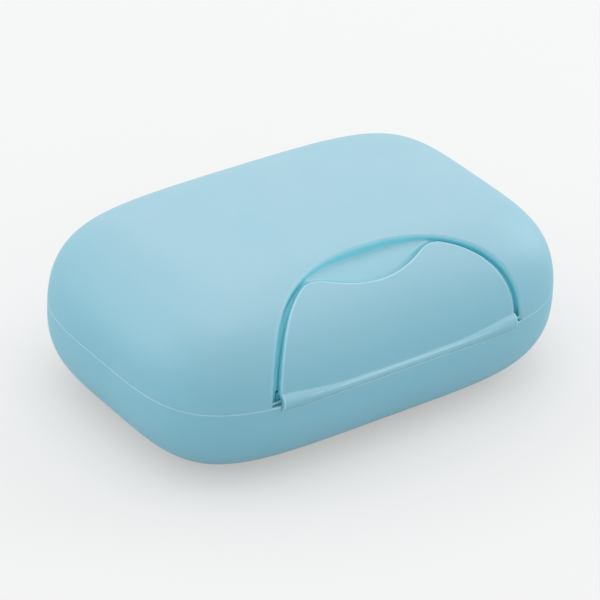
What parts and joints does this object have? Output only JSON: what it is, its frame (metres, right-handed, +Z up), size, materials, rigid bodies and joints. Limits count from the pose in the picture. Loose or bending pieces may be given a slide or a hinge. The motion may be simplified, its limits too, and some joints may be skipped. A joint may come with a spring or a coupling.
{
  "type": "travel soap box",
  "caption": "Pillow-shaped travel soap box with a hinged lid, a curved latch flap let into the front of the lid, a sealing ring and moulded drain ribs.",
  "frame": {"origin": "on the table, under the middle of the whole box, hinge included", "axes": "+X along the box to the right seen from the latch side, +Y from the latch at the front to the hinge at the back, +Z up"},
  "size_m": [0.115, 0.0822, 0.045],
  "materials": {
    "shell": "light blue moulded polypropylene with a fine matte texture",
    "latch": "light blue moulded polypropylene, slightly smoother than the shells",
    "seal": "milky translucent silicone",
    "pin": "plain moulded plastic rod"
  },
  "bodies": {
    "base": {"base_shell": "shell", "sealing_ring": "seal", "hinge_pin": "pin"},
    "lid": {"lid_shell": "shell"},
    "latch": {"latch_flap": "latch"}
  },
  "joints": [
    {"name": "lid_hinge", "type": "hinge", "parent": "base", "child": "lid", "pos_m": [0, 0.0389, 0.0216], "axis": [-1, 0, 0], "range_deg": [0, 165]},
    {"name": "latch_hinge", "type": "hinge", "parent": "lid", "child": "latch", "pos_m": [0, -0.0389, 0.0223], "axis": [1, 0, 0], "range_deg": [0, 75]}
  ]
}
